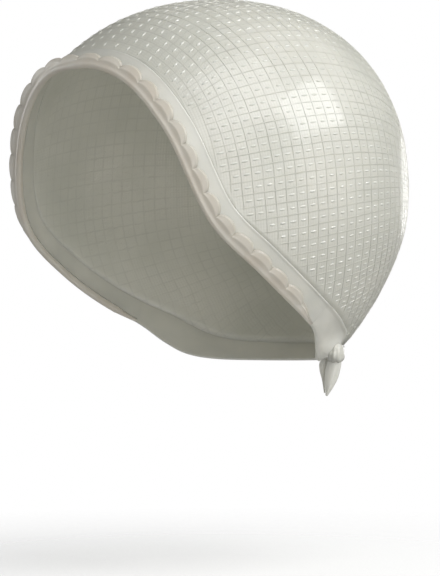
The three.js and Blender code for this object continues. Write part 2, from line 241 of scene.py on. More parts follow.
# %% The free edge
# turn and fall, in degrees
FREE_EDGE = [(0, 52.5), (15, 53.4), (30, 58.9), (45, 72.2), (60, 95.6), (75, 108.9), (90, 118.3), (100, 123)]
right_half = [(-turn, fall) for turn, fall in FREE_EDGE[:0:-1]]
edge_corners = [on_head(turn, fall) for turn, fall in right_half + FREE_EDGE]
edge_gaps = [math.sqrt((b - a).length) for a, b in zip(edge_corners, edge_corners[1:])]
EDGE_SAMPLES = 800
edge_points = [smooth_between(edge_corners, i / EDGE_SAMPLES, edge_gaps) for i in range(EDGE_SAMPLES + 1)]
edge_reached = [0.0]
for a, b in zip(edge_points, edge_points[1:]):
    edge_reached.append(edge_reached[-1] + (b - a).length)
edge_length = edge_reached[-1]
print("free edge:", round(edge_length, 1), "mm long")


# %% Walk from the edge towards the crown
WALK_STEPS = 16


def gap_of(values, wanted):
    """The number of the gap in a rising list that a value falls into."""
    low, high = 0, len(values) - 1
    while high - low > 1:
        middle = (low + high) // 2
        low, high = (middle, high) if values[middle] <= wanted else (low, middle)
    return low


def edge_at(along):
    """The point and the direction of the free edge at a distance from its right end."""
    along = min(max(along, 0.0), edge_length)
    i = gap_of(edge_reached, along)
    share = (along - edge_reached[i]) / (edge_reached[i + 1] - edge_reached[i])
    point = edge_points[i].lerp(edge_points[i + 1], share)
    return point, (edge_points[i + 1] - edge_points[i]).normalized()


def station_at(along):
    """Walks 1 mm steps from the edge towards the crown; the result gives any place on the path."""
    start, tangent = edge_at(along)
    path = [onto_head(start)]
    for _ in range(WALK_STEPS):
        across = outwards(path[-1]).cross(tangent).normalized()
        path.append(onto_head(path[-1] + across))

    def place(distance, lift):
        step = min(max(int(distance), 0), WALK_STEPS - 1)
        point = path[step].lerp(path[step + 1], distance - step)
        return point + outwards(point) * lift

    return place

# %% [markdown]
# ## The outlines of the two ties
# Each tie starts where the band ends. A table gives its outline: each row is one line across the strap,
# as the turn and fall of its two edges.

# %% Tie tables
GAP = 0.3  # between neighbouring pieces
BAND_WIDTH = 12  # from the free edge to the moulded line
# front edge's turn and fall, back edge's turn and fall
LEFT_TIE = [
    (101.4, 123.6, 115.7, 121.6),
    (104.7, 125.5, 121.1, 123.5),
    (106.6, 126.8, 125.4, 124.9),
    (108.6, 128.1, 127.5, 127),
    (111.1, 129.7, 127.4, 129.4),
    (113.6, 131.1, 118.3, 130.4),
    (116.9, 133.1, 117.3, 133),
]
# lower edge's turn and fall, upper edge's turn and fall
RIGHT_TIE = [
    (103.5, 125, 114.2, 121.1),
    (110.6, 129.4, 120.3, 123.8),
    (119.7, 133.1, 128.4, 126.7),
    (133.1, 134.8, 138.6, 128.6),
    (155, 135.1, 156, 129.4),
    (180, 134.8, 180, 129.4),
    (205, 134.1, 205, 129.4),
    (221, 133.1, 220, 129.2),
    (232, 132.6, 229, 129.1),
    (241, 132.4, 238, 130),
]
tie_start = station_at(edge_length)
first_row = (*angles_of(tie_start(0, 0)), *angles_of(tie_start(BAND_WIDTH, 0)))
left_tie_rows = [first_row, *LEFT_TIE]
right_tie_rows = [first_row, *RIGHT_TIE]
print("ties start at turn and fall", first_row[:2])

# %% [markdown]
# ## The finishes
# The film is milky rubber: light goes into it a little way, some of it passes right through, and the
# skin on top is satin with a faint gloss. So a subsurface shader is mixed with a little translucent
# light. Its tone drifts in soft clouds, and two bump layers give it a fine grain and the faint threads of
# the mould. Clouds and grain are read from object coordinates, so they stay on the piece; the threads
# follow the pattern's own rows, stored on the film as an attribute. Two darker tones are painted shade:
# a faint one along the lines of the net, and a stronger one along the rims of the petals.

# %% Material helpers
def empty_tree(owner):
    """Turns on the nodes of a material or a world, and clears them."""
    owner.use_nodes = True
    owner.node_tree.nodes.clear()
    return owner.node_tree


def plug(tree, sockets, values):
    """Gives each socket its own value, or a link from another node's output."""
    for socket, value in zip(sockets, values):
        if isinstance(value, bpy.types.NodeSocket):
            tree.links.new(value, socket)
        else:
            socket.default_value = value


def node_into(tree, kind, **inputs):
    """Adds a shader node, such as Bump for a ShaderNodeBump, and sets the sockets that are named."""
    node = tree.nodes.new("ShaderNode" + kind)
    plug(tree, [node.inputs[name.replace("_", " ")] for name in inputs], inputs.values())
    return node


def colour_ramp(tree, factor, stops):
    """A colour ramp between two (place, colour) stops."""
    ramp = node_into(tree, "ValToRGB", Fac=factor)
    for element, (place, colour) in zip(ramp.color_ramp.elements, stops):
        element.position = place
        element.color = (*colour, 1)
    return ramp.outputs["Color"]


def value_range(tree, value, low, high, from_low=0.0, from_high=1.0):
    """Brings a value from one range into another."""
    ends = {"From Min": from_low, "From Max": from_high, "To Min": low, "To Max": high}
    return node_into(tree, "MapRange", Value=value, **ends).outputs["Result"]


def clouds(tree, scale, detail=3.0, stretch=(1, 1, 1)):
    """Soft noise over object coordinates. scale is in clouds a metre."""
    place = node_into(tree, "TexCoord").outputs["Object"]
    turned = node_into(tree, "Mapping", Vector=place, Scale=stretch).outputs["Vector"]
    texture = node_into(tree, "TexNoise", Vector=turned, Scale=scale, Detail=detail)
    return texture.outputs["Fac"]


def math_node(tree, operation, first, second=0.0):
    """One step of arithmetic on a value in a material."""
    node = node_into(tree, "Math")
    node.operation = operation
    plug(tree, node.inputs, (first, second))
    return node.outputs["Value"]


def shaded(tree, tone, share, strength, shade):
    """A tone with a plain colour of painted shade laid over it, by a share and a strength."""
    node = node_into(tree, "Mix")
    node.data_type = "RGBA"
    factor = math_node(tree, "MULTIPLY", share, strength)
    plug(tree, [node.inputs[i] for i in (0, 6, 7)], (factor, tone, (*shade, 1)))
    return node.outputs[2]


def show_mix(tree, output, share, first, second):
    """Shows two shaders in one: share is how much the second one counts."""
    mix = node_into(tree, "MixShader")
    plug(tree, mix.inputs, (share, first.outputs[0], second.outputs[0]))
    node_into(tree, output, Surface=mix.outputs["Shader"])


# %% The net in the finish
NET_OFFSET = 100  # keeps rows and lines above 0, as a ping-pong needs
NET_LINE_REACH = (0.02, 0.1)  # where a line's shade starts to fade, and ends
NET_TO_FRONT = (-12, -6)  # lines between which the shade comes in, in front
NET_TO_BACK = (11, 15)  # and goes, at the back
THREAD_COUNT = 4  # in a square, each way


def stored(tree, attribute, output):
    """What is stored on a piece under a name."""
    node = node_into(tree, "Attribute")
    node.attribute_name = attribute
    return node.outputs[output]


def stored_axes(tree, attribute):
    """The row and the line of the net at a place, as stored on the film."""
    split = node_into(tree, "SeparateXYZ", Vector=stored(tree, attribute, "Vector"))
    return split.outputs["X"], split.outputs["Y"]


def painted_net_line_shade(tree, attribute):
    """Where shade is painted along the net's lines: 1 on them and 0 between, fading out towards front and
    back.
    """
    row, line = stored_axes(tree, attribute)
    near_row = math_node(tree, "PINGPONG", math_node(tree, "ADD", row, NET_OFFSET + 0.5), 0.5)
    near_line = math_node(tree, "PINGPONG", math_node(tree, "ADD", line, NET_OFFSET), 0.5)
    nearest = math_node(tree, "MINIMUM", near_row, near_line)
    lines = value_range(tree, nearest, 1, 0, *NET_LINE_REACH)
    to_front = value_range(tree, line, 0, 1, *NET_TO_FRONT)
    to_back = value_range(tree, line, 1, 0, *NET_TO_BACK)
    broken = value_range(tree, clouds(tree, 90), 0.3, 1, 0.4, 0.6)
    for share in (to_front, to_back, broken):
        lines = math_node(tree, "MULTIPLY", lines, share)
    return lines


def threads(tree, attribute):
    """Fine crossed ribs that follow the pattern's rows and lines, from 0 to 1."""
    ribs = []
    for axis in stored_axes(tree, attribute):
        turned = math_node(tree, "MULTIPLY", axis, THREAD_COUNT * 2 * math.pi)
        ribs.append(math_node(tree, "COSINE", turned))
    return value_range(tree, math_node(tree, "ADD", *ribs), 0, 1, -2, 2)


# %% The milky rubber
# Shade painted along the net's lines, over their real relief: its strength, and its tone as a share of the
# film's.
PAINTED_LINE_SHADE = 0.22  # how strong the tone of the net's lines is
PAINTED_LINE_SHADE_DARKNESS = 0.72  # and how dark, as a share of the film's
# Shade painted along the petals' rims, where their edge is seen end on: its strength and its tone.
PAINTED_RIM_SHADE = 0.8
PAINTED_RIM_SHADE_TONE = (0.36, 0.34, 0.29)


def rubber(name, dark, light, cloud_scale, roughness, coat, through, pattern=None, rim=None):
    """Milky satin rubber between two tones. through is the share of light that passes right through."""
    material = bpy.data.materials.new(name)
    tree = empty_tree(material)
    tone = colour_ramp(tree, clouds(tree, cloud_scale), [(0.32, dark), (0.68, light)])
    grain = clouds(tree, 1400, detail=2)
    bump = node_into(tree, "Bump", Height=grain, Strength=0.25, Distance=0.0001)
    # rim names the attribute along which shade is painted on the petals' rims.
    if rim:
        tone = shaded(tree, tone, stored(tree, rim, "Fac"), PAINTED_RIM_SHADE, PAINTED_RIM_SHADE_TONE)
    # pattern names the net's attribute: shade is painted along its lines, and threads are bumped along it.
    if pattern:
        net_line_shade_tone = [PAINTED_LINE_SHADE_DARKNESS * channel for channel in dark]
        tone = shaded(tree, tone, painted_net_line_shade(tree, pattern), PAINTED_LINE_SHADE, net_line_shade_tone)
        below = bump.outputs["Normal"]
        ribs = threads(tree, pattern)
        bump = node_into(tree, "Bump", Height=ribs, Strength=0.5, Distance=0.00012, Normal=below)
    satin = value_range(tree, clouds(tree, 160, stretch=(1, 1, 2)), roughness - 0.06, roughness + 0.08)
    depth = {"Subsurface Weight": 0.35, "Subsurface Radius": (1.0, 0.95, 0.85), "Subsurface Scale": 0.004}
    gloss = {"IOR": 1.45, "Coat Weight": coat, "Coat Roughness": 0.11, "Normal": bump.outputs["Normal"]}
    skin = node_into(tree, "BsdfPrincipled", Base_Color=tone, Roughness=satin, **depth, **gloss)
    glow = node_into(tree, "BsdfTranslucent", Color=tone)
    show_mix(tree, "OutputMaterial", through, skin, glow)
    return material


film_rubber = rubber("film_rubber", (0.73, 0.73, 0.67), (0.83, 0.82, 0.76), 22, 0.34, 0.6, 0.46, "lattice")
mark_rubber = rubber("mark_rubber", (0.72, 0.72, 0.66), (0.80, 0.80, 0.74), 300, 0.34, 0.5, 0.3)
band_rubber = rubber("band_rubber", (0.66, 0.66, 0.61), (0.74, 0.73, 0.67), 60, 0.34, 0.5, 0.3)
# The hem's finish paints shade along the rims of its petals.
hem_rubber = rubber("hem_rubber", (0.70, 0.65, 0.57), (0.75, 0.72, 0.65), 90, 0.42, 0.15, 0.25, rim="rim")
print("finishes:", [material.name for material in bpy.data.materials])

# %% [markdown]
# ## How the film lies
# Stretched film is never quite even: it has long shallow waves, and it gathers into fine folds that run
# towards the knot, where it is pulled tight. Both are added as a small lift, in one function, so that
# the film and everything moulded on it share the same folds.

# %% Waves and folds of the film
KNOT_TURN = 121
KNOT_FALL = 130
WAVE_HEIGHT = 0.25
WAVE_SCALE = 0.035
FOLD_HEIGHT = 0.3
FOLD_START = 9
FOLD_REACH = 24
FOLD_COUNT = 26
FOLD_WANDER = 3
knot_foot = on_head(KNOT_TURN, KNOT_FALL)
knot_out = outwards(knot_foot)
knot_side = Vector((0, 0, 1)).cross(knot_out).normalized()
knot_up = knot_out.cross(knot_side)


def film_lift(point):
    """How far the film's skin stands off its even surface at a point, in millimetres."""
    waves = WAVE_HEIGHT * noise.noise(point * WAVE_SCALE)
    away = point - knot_foot
    distance = away.length
    bearing = math.atan2(away.dot(knot_up), away.dot(knot_side))
    strength = math.exp(-distance / FOLD_REACH) * (1 - math.exp(-distance / FOLD_START))
    folds = math.sin(FOLD_COUNT * bearing + FOLD_WANDER * noise.noise(point * 0.08))
    return waves + FOLD_HEIGHT * strength * folds


print("film lift over the knot:", round(film_lift(on_head(KNOT_TURN, 120)), 2), "mm")

# %% [markdown]
# ## The film dome
# The dome is the largest piece: thin film from the top of the head down to the moulded line above the
# band, and at the back down to the ties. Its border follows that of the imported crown, but runs on a
# little under the band and the ties, so that no light shows through between them.
# A grid is wrapped round the head, from its top to that border, and a Solidify modifier gives it its
# wall inwards, as film has the same thickness everywhere.

# %% The border of the film
UNDER_BAND = 0.4  # millimetres
UNDER_TIE = 0.3  # degrees
LEFT_ROWS, NAPE_ROWS = 4, 9  # rows of the ties' tables that the border follows
FACE_COLUMNS, LEFT_COLUMNS, NAPE_COLUMNS = 180, 24, 72
TIP_COLUMNS = 12


def along_tie(table, rows, columns):
    """The back edge of a tie's first rows, as the film follows it under the tie."""
    places = [smooth_row(table, i / columns * rows / (len(table) - 1)) for i in range(1, columns + 1)]
    return [(place[2] - UNDER_TIE, place[3] + UNDER_TIE) for place in places]


def crown_border():
    """The border as turn and fall, from the right tie over the forehead and the nape back again."""
    stations = [station_at(edge_length * i / FACE_COLUMNS) for i in range(FACE_COLUMNS + 1)]
    face = [angles_of(place(BAND_WIDTH - UNDER_BAND, 0)) for place in stations]
    left = along_tie(left_tie_rows, LEFT_ROWS, LEFT_COLUMNS)
    nape = [(360 - turn, fall) for turn, fall in along_tie(right_tie_rows, NAPE_ROWS, NAPE_COLUMNS)[::-1]]
    tip = [mixed_rows(left[-1], nape[0], i / TIP_COLUMNS) for i in range(1, TIP_COLUMNS)]
    return face + left + tip + nape


border = crown_border()
print("border of the film:", len(border), "points")


# %% Whether a place lies under the film
def search_tree(points):
    """A tree that finds the point of a list nearest to a place."""
    tree = kdtree.KDTree(len(points))
    for index, point in enumerate(points):
        tree.insert(point, index)
    tree.balance()
    return tree


border_tree = search_tree([on_head(turn, fall) for turn, fall in border])
border_turns = [turn for turn, fall in border]


def inside_film(point, margin):
    """Whether a point of the head lies under the film, at least margin from its border."""
    turn, fall = angles_of(point)
    if turn < border_turns[0]:
        turn += 360
    i = gap_of(border_turns, turn)
    (turn_before, fall_before), (turn_after, fall_after) = border[i], border[i + 1]
    share = (turn - turn_before) / max(turn_after - turn_before, 1e-9)
    limit = fall_before + (fall_after - fall_before) * min(max(share, 0), 1)
    return fall < limit and border_tree.find(point)[2] > margin

# %% [markdown]
# ## The moulded pattern's rows and lines
# The film carries a net of fine raised lines: rows from front to back and lines from side to side, with
# a short raised dash in the middle of every square. On the worn cap the rows fan out like slices of an
# orange, and the lines lean back a little as they go down the side. Both have a formula instead of a
# drawn curve, because the relief, the dashes and the finish must all agree on them.

# %% The net's rows and lines
FIRST_LINE, LAST_LINE = -12, 25
LAST_ROW = 49
ROW_PITCH = 4.23  # degrees of roll from one row to the next
ROW_NARROWING = 0.0055
ROW_MIDDLE = -20  # the depth at which the rows have that pitch
CROWD_FROM = -46  # in front of this depth the rows spread out
CROWD_SHARE = 0.3
CROWD_ROLL = 60
LINE_START = -13  # the depth of line 0 on the midline
LINE_PITCH = 5.45
LINE_GROWTH = 0.06
LINE_SHIFT = [-11.8, -10.3, -6.8, -3.3, -0.9, 0.6, 1.3, 3.6, 7.5]
SHIFT_SPAN = 120  # the roll that the table of shifts covers
LAST_EVEN_LINE = 4
BACK_STEP = 3.45
back_centre = -LEAN * RISE
SETTLING_ROUNDS = 5  # roll and depth depend on each other, so a few rounds find them


def line_depth(line):
    """How far back a side-to-side line lies on the midline, before it leans."""
    if line <= LAST_EVEN_LINE:
        return LINE_START + LINE_PITCH * line + LINE_GROWTH * line * line
    start = math.asin((line_depth(LAST_EVEN_LINE) - back_centre) / HALF_LENGTH)
    angle = start + math.radians(BACK_STEP) * (line - LAST_EVEN_LINE)
    return HALF_LENGTH * math.sin(min(angle, math.pi / 2)) + back_centre


def net_angles(row, line):
    """The roll round the head and the depth of the crossing of a row and a line."""
    depth = line_depth(line)
    y = depth
    roll = 0.0
    for _ in range(SETTLING_ROUNDS):
        roll = row * (ROW_PITCH - ROW_NARROWING * (y - ROW_MIDDLE))
        crowd = CROWD_SHARE * max(0.0, CROWD_FROM - y)
        roll += math.copysign(crowd * math.sin(math.pi * min(abs(roll), CROWD_ROLL) / CROWD_ROLL), roll)
        fade = math.sqrt(max(0.0, 1 - (max(depth, 0) - back_centre) ** 2 / HALF_LENGTH**2))
        y = depth + smooth_between(LINE_SHIFT, abs(roll) / SHIFT_SPAN) * fade
    return roll, y


print("row 10 crosses line 5 at roll and depth", net_angles(10, 5))

# %% The net's crossings on the head
LAST_ROLL = 179
FARTHEST = 140.0
HALVINGS = 28


def net_point(row, line):
    """The point of the head where a row and a line of the net cross, or None past the head's end."""
    roll, y = net_angles(row, line)
    cosine, sine = cos_sin(roll)
    low, high = 0.0, FARTHEST
    for _ in range(HALVINGS):
        reach = (low + high) / 2
        height = reach * cosine
        power, full = shape_at(height)
        across = math.hypot(reach * sine / HALF_WIDTH, (y - LEAN * (height - RISE)) / HALF_LENGTH)
        outside = across**power + abs(height / full) ** power > 1
        low, high = (low, reach) if outside else (reach, high)
    if high < 0.01 or abs(roll) > LAST_ROLL:
        return None
    return Vector((low * sine, y, low * cosine - RISE))


print("net on the midline: from", net_point(0, FIRST_LINE), "to", net_point(0, LAST_LINE))

# %% Wrap the film round the head
RINGS = 56
TIP_TURN, TIP_FALL = 128.3, 129.3  # the film's corner between the ties
TIP_START = 0.93
columns = len(border)
tip_middle = FACE_COLUMNS + LEFT_COLUMNS + TIP_COLUMNS / 2


def film_place(u, v):
    """A place on the film's skin: u goes round the head and v from its top to the border."""
    column = round(u * columns) % columns
    turn, fall = border[column]
    into_tip = max(0.0, 1 - abs(column - tip_middle) / (TIP_COLUMNS / 2))
    into_tip *= max(0.0, (v - TIP_START) / (1 - TIP_START))
    turn += (TIP_TURN - turn) * into_tip
    fall += (TIP_FALL - fall) * into_tip
    point = on_head(turn, fall * v)
    return point + outwards(point) * (CROWN_WALL + film_lift(point))


bm = skin_from_grid(columns, RINGS, film_place, close_ends=False)
print("film:", len(bm.faces), "faces on its skin")

# %% Store the net on the film
rows, lines = range(-LAST_ROW, LAST_ROW + 1), range(FIRST_LINE, LAST_LINE + 2)
net_names = [(row, line) for row in rows for line in lines if net_point(row, line)]
net_tree = search_tree([net_point(*name) for name in net_names])


def near_net(point):
    """The row and line of a point, as fractions, from the nearest crossing and its neighbours."""
    row, line = net_names[net_tree.find(point)[1]]
    here = net_point(row, line)
    along, across = net_point(row, line + 0.5), net_point(row + 0.5, line)
    if not along or not across:
        return row, line
    step_line, step_row = (along - here) * 2, (across - here) * 2
    away = point - here
    row_part = away.dot(step_row) / step_row.length_squared
    line_part = away.dot(step_line) / step_line.length_squared
    return row + row_part, line + line_part


lattice = bm.verts.layers.float_vector.new("lattice")
for vertex in bm.verts:
    vertex[lattice] = Vector((*near_net(vertex.co / MM), 0))
film = piece_from(bm, "crown_film", film_rubber, ["crown"])
wall = film.modifiers.new("wall", "SOLIDIFY")
wall.thickness = CROWN_WALL * MM
wall.offset = -1

# %% [markdown]
# ## The raised lines of the net
# Each line stands only a few tenths of a millimetre off the film and is less than a millimetre wide. A
# bump map could fake it, but real relief catches the light at every angle. Each line is a narrow grid
# rolled into a flat tube that is sunk a little into the film and drawn to a point at both ends. At the
# back the rows would crowd together, so fewer and fewer of them go on, and the relief fades out there,
# as it does low on the forehead.

# %% Where the rows thin out
ROWS_KEPT = [(15, 1), (20, 2), (23, 4), (LAST_LINE + 1, 8)]  # before this line, one row in so many
LEAST_RUN = 4
LINE_MARGIN = 1.2


def stride_at(line):
    """One row in how many goes on past this line, towards the back."""
    return next(stride for limit, stride in ROWS_KEPT if line < limit)


def runs_inside(points, margin):
    """The stretches of these points that lie under the film."""
    run = []
    for point in [*points, None]:
        if point and inside_film(point, margin):
            run.append(point)
            continue
        if len(run) > LEAST_RUN:
            yield run
        run = []


# %% The shape of one line
LINE_WIDTH = 0.6
LINE_RISE = 0.13
LINE_WANDER = 0.3
SUNK = 0.12
FACE_FADE = (-68, -44)  # the depths between which the relief comes up
BACK_FADE = (86, 62)
LEAST_FADE = 0.1
TUBE = [(-0.5, 0), (-0.22, 1), (0.22, 1), (0.5, 0)]


def add_line(bm, points):
    """Adds one raised line along points of the head."""
    rows = len(points) - 1
    made = bmesh.ops.create_grid(bm, x_segments=4, y_segments=rows, size=0.5)
    for vertex in made["verts"]:
        i = round((vertex.co.y + 0.5) * rows)
        across, up = TUBE[round((vertex.co.x + 0.5) * 4) % 4]
        point = points[i]
        outward = outwards(point)
        along = points[min(i + 1, rows)] - points[max(i - 1, 0)]
        side = outward.cross(along).normalized()
        if i in (0, rows):
            across, up = 0, 0
        faint = 1.0
        for start, end in (FACE_FADE, BACK_FADE):
            faint *= min(max((point.y - start) / (end - start), LEAST_FADE), 1)
        rise = LINE_RISE * faint * (0.9 + 0.9 * noise.noise(point * 0.12 + along))
        sideways = across * LINE_WIDTH + LINE_WANDER * noise.noise(point * 0.09)
        lift = CROWN_WALL + film_lift(point) - SUNK + up * (SUNK + rise)
        vertex.co = (point + side * sideways + outward * lift) * MM


# %% Lay the lines
paths = []
for half in range(-LAST_ROW, LAST_ROW):
    ends = [line for line in range(FIRST_LINE, LAST_LINE + 1) if half % stride_at(line) == 0]
    paths.append([net_point(half + 0.5, line + part) for line in ends for part in (0, 0.5)])
for line in range(FIRST_LINE, LAST_LINE):
    step = 0.5 if stride_at(line) == 1 else 1
    reach = int(LAST_ROW / step)
    paths.append([net_point(step * k, line) for k in range(-reach, reach + 1)])
bm = bmesh.new()
for path in paths:
    for run in runs_inside(path, LINE_MARGIN):
        add_line(bm, run)
bmesh.ops.remove_doubles(bm, verts=bm.verts[:], dist=WELD)
grid = piece_from(bm, "crown_grid", film_rubber)
print("raised lines:", len(grid.data.polygons), "faces")

# %% [markdown]
# ## The raised dashes
# In the middle of every square a short pad, longer from front to back than across, shows where the hook
# goes in. A ball of few faces, flattened and half buried, gives the round shape cheaply, which matters
# where it is repeated so often. The moulding is not perfect, so length and height vary a little, with a
# fixed seed. Each row of dashes is first a mesh of its own, because adding to one that grows is slow.

# %% Press the dashes into the squares
DASH_LENGTH = 3.3
DASH_WIDTH = 1.05
DASH_RISE = 0.32
DASH_PARTS = (0.35, 0.5, 0.65)  # its start, middle and end between two lines
DASH_SIDES, DASH_RINGS = 8, 4
BACK_FLATTENING = 0.5
FLAT_DEPTH = 60  # the depth at which that is reached
DASH_MARGIN = 3.6
random.seed(7)


def dashes_along(line):
    """The dashes between one side-to-side line and the next, as a mesh of their own."""
    stride = stride_at(line)
    shift = 0.5 if stride > 1 else 0
    bm = bmesh.new()
    for row in range(-LAST_ROW, LAST_ROW + 1):
        if (row - stride // 2) % stride:
            continue
        ends = [net_point(row + shift, line + part) for part in DASH_PARTS]
        if None in ends or not inside_film(ends[1], DASH_MARGIN):
            continue
        outward = outwards(ends[1])
        along = (ends[2] - ends[0]).normalized()
        side = outward.cross(along).normalized()
        length = DASH_LENGTH * random.uniform(0.82, 1.08)
        rise = DASH_RISE * random.uniform(0.75, 1.15)
        rise *= 1 - BACK_FLATTENING * min(max(ends[1].y / FLAT_DEPTH, 0), 1)
        middle = ends[1] + outward * (CROWN_WALL + film_lift(ends[1]))
        axes = Matrix((along * (length / 2), side * (DASH_WIDTH / 2), outward * rise)).transposed()
        place = Matrix.Translation(middle * MM) @ (axes * MM).to_4x4()
        bmesh.ops.create_uvsphere(bm, u_segments=DASH_SIDES, v_segments=DASH_RINGS, radius=1, matrix=place)
    return mesh_from(bm, "dashes", mark_rubber)


bm = bmesh.new()
for line in range(FIRST_LINE, LAST_LINE - 1):
    part = dashes_along(line)
    bm.from_mesh(part)
    bpy.data.meshes.remove(part)
marks = piece_from(bm, "crown_dashes", mark_rubber)
print("dashes:", len(marks.data.polygons) // (DASH_SIDES * DASH_RINGS))

# %% [markdown]
# ## The smooth band and its moulded line
# Between the hem and the pattern the film is plain and a little thicker. It ends in a thin raised line
# that shows bright where the light grazes it. The line is low over the forehead and stands up towards
# the ties. The band is a section of twelve corners, carried along the whole free edge.

# %% Sweep the band
BEAD_DEPTH = 2.5  # the hem's bead covers the band this far in
BAND_STATIONS = 300
RUN_OUT = 14
LEAST_BEAD = 0.45
BAND_TUCK = 1.5 * GAP
BAND_LEVEL = 1.41
LOW_RIDGE = 0.12  # the moulded line's height over the forehead, as a share
BAND_INNER = BEAD_DEPTH + BAND_TUCK
# distance from the edge, lift off the head
BAND_SECTION = [
    (BAND_INNER, 0.05), (BAND_INNER, 1.3), (5, 1.4), (8, 1.4), (10.6, 1.41), (11.2, 1.48),
    (11.5, 1.7), (11.8, 1.74), (12.05, 1.6), (12.15, 1.35), (BAND_WIDTH, 0.05), (8, 0),
]
band_places = [station_at(edge_length * i / BAND_STATIONS) for i in range(BAND_STATIONS + 1)]


def eased(share):
    """A share from 0 to 1 that starts and ends gently."""
    t = min(max(share, 0.0), 1.0)
    return t * t * (3 - 2 * t)


def bead_share(along):
    """The bead's size as a share: it dies away into the ties at both ends."""
    return LEAST_BEAD + (1 - LEAST_BEAD) * eased(min(along, edge_length - along) / RUN_OUT)


def band_place(u, v):
    """A place on the band: u goes round its section and v along the free edge."""
    distance, lift = BAND_SECTION[round(u * len(BAND_SECTION)) % len(BAND_SECTION)]
    if distance == BAND_INNER:
        distance = BEAD_DEPTH * bead_share(v * edge_length) + BAND_TUCK
    elif lift > BAND_LEVEL:
        lift = BAND_LEVEL + (lift - BAND_LEVEL) * (LOW_RIDGE + (1 - LOW_RIDGE) * abs(2 * v - 1) ** 2)
    return band_places[round(v * BAND_STATIONS)](distance, lift)


bm = skin_from_grid(len(BAND_SECTION), BAND_STATIONS, band_place)
piece_from(bm, "face_band", band_rubber, ["edge_band"])

# %% [markdown]
# ## The scalloped hem
# The hem is one strip: a round bead lies along the free edge, and a flap of round petals is laid back
# over the band. Each petal is domed a little, with a fine raised line along it, and between two petals
# the flap pulls in to a notch. A table gives the petals' sizes round the face, and a section with a
# bead, a ridge and a rounded rim follows it. How near a point lies to the rim is stored as an attribute,
# from which the finish paints a soft dark outline of shade along the petals.

# %% The petals' table
# length, tip's and notch's distance from the edge, tip's and notch's lift off the head
PETAL_ROWS = [
    (12.5, 6, 4.4, 4, 3.1),
    (12.1, 6, 4.4, 5.4, 4),
    (11.8, 5, 4, 7.5, 6),
    (12.4, 4.8, 3.8, 7.4, 5.9),
    (12.3, 6.4, 4.6, 4.4, 3.7),
    (10.8, 7.6, 4.9, 4.6, 3.5),
    (10.8, 7.2, 4.8, 4.8, 3.4),
    (11.7, 7.4, 5.2, 4.4, 3.2),
    (13.6, 6, 4.6, 4, 3.1),
]
BARE_BEAD = (0, 3.8, 3.8, 3, 3)
BARE_END = 10  # the bead runs on this far past the last petal


def petal_at(along):
    """The table's row at a distance along the free edge."""
    return smooth_row(PETAL_ROWS, along / edge_length)


notches = [BARE_END]
while notches[-1] + petal_at(notches[-1])[0] <= edge_length - BARE_END:
    notches.append(notches[-1] + petal_at(notches[-1])[0])
print("petals:", len(notches) - 1)

# %% The hem's section
BAND_WALL = 1.4
FLAP_WALL = 1.25
FLAP_FLOOR = BAND_WALL + 2 * GAP  # the flap's underside, off the head
FLAP_START = 2.15
FLAP_SHARES = (0.08, 0.2, 0.32, 0.4, 0.48, 0.6, 0.75, 0.9, 1)
BEAD_HEIGHT = 3
BEAD_CENTRE = (1.4, 1.5)
BEAD_RADII = (1.3, 1.45)
RIM_ROUNDING = 0.7
RIDGE_RISE, RIDGE_PLACE = 0.16, 0.4
VALLEY_DEPTH, VALLEY_PLACE = 0.03, 0.1
FORM_WIDTH = 0.1
PETAL_DOME = 0.3


def bell(distance, width):
    """1 at no distance, and soon less on both sides."""
    return math.exp(-((distance / width) ** 2))


def hem_section(petal, fullness):
    """The hem's section as (distance from the edge, lift off the head) corners, anticlockwise."""
    _, tip, notch, tip_lift, notch_lift = petal
    width = notch + (tip - notch) * fullness
    top = notch_lift + (tip_lift - notch_lift) * fullness
    under = max(FLAP_FLOOR, top - FLAP_WALL)
    rim = width - RIM_ROUNDING
    corners = [(BEAD_DEPTH, 0.05)]
    for angle in range(255, 74, -20):
        across, up = cos_sin(angle)
        corners.append((BEAD_CENTRE[0] + BEAD_RADII[0] * across, BEAD_CENTRE[1] + BEAD_RADII[1] * up))
    for t in FLAP_SHARES:
        ridge = RIDGE_RISE * bell(t - RIDGE_PLACE, FORM_WIDTH)
        valley = VALLEY_DEPTH * bell(t - VALLEY_PLACE, FORM_WIDTH)
        dome = PETAL_DOME * fullness * math.sin(math.pi * t) - valley
        level = BEAD_HEIGHT + (top - BEAD_HEIGHT) * t
        corners.append((FLAP_START + (rim - FLAP_START) * t, level + ridge + dome))
    corners += [(width - 0.15, top * 0.7 + under * 0.3), (width, (top + under) / 2)]
    corners += [(rim + 0.3, under + 0.1), (rim - 0.6, under), (BEAD_DEPTH + 0.4, FLAP_FLOOR)]
    return corners


print("a full petal's section has", len(hem_section(PETAL_ROWS[4], 1)), "corners")

# %% Line the sections up along the edge
BARE_STEPS = 12
PETAL_STEPS = 18
PETAL_FIRMNESS = 0.62  # under 1 makes a petal rounder at its shoulders


def bare_sections(first, second):
    """The bead past the last petal: it shrinks from the notch to the end of the edge."""
    sections = []
    for step in range(BARE_STEPS + 1):
        share = step / BARE_STEPS
        along = first + (second - first) * share
        size = bead_share(along)
        full = hem_section(mixed_rows(petal_at(along), BARE_BEAD, share), 0)
        section = [(distance * size, 0.05 + (lift - 0.05) * size) for distance, lift in full]
        sections.append((station_at(along), section))
    return sections


hem_sections = bare_sections(notches[0], 0)[::-1]
for first, second in zip(notches, notches[1:]):
    for step in range(1, PETAL_STEPS + 1):
        share = (1 - math.cos(math.pi * step / PETAL_STEPS)) / 2
        along = first + (second - first) * share
        fullness = max(0.0, 1 - (2 * share - 1) ** 2) ** PETAL_FIRMNESS
        hem_sections.append((station_at(along), hem_section(petal_at(along), fullness)))
hem_sections += bare_sections(notches[-1], edge_length)[1:]
print("hem:", len(hem_sections), "sections")

# %% Sweep the hem
RIM_CORNER, RIM_SHADE_REACH = -5, 0.85
corners = len(hem_sections[0][1])


def hem_place(u, v):
    """A place on the hem: u goes round its section and v along the free edge."""
    place, section = hem_sections[round(v * (len(hem_sections) - 1))]
    return place(*section[round(u * corners) % corners])


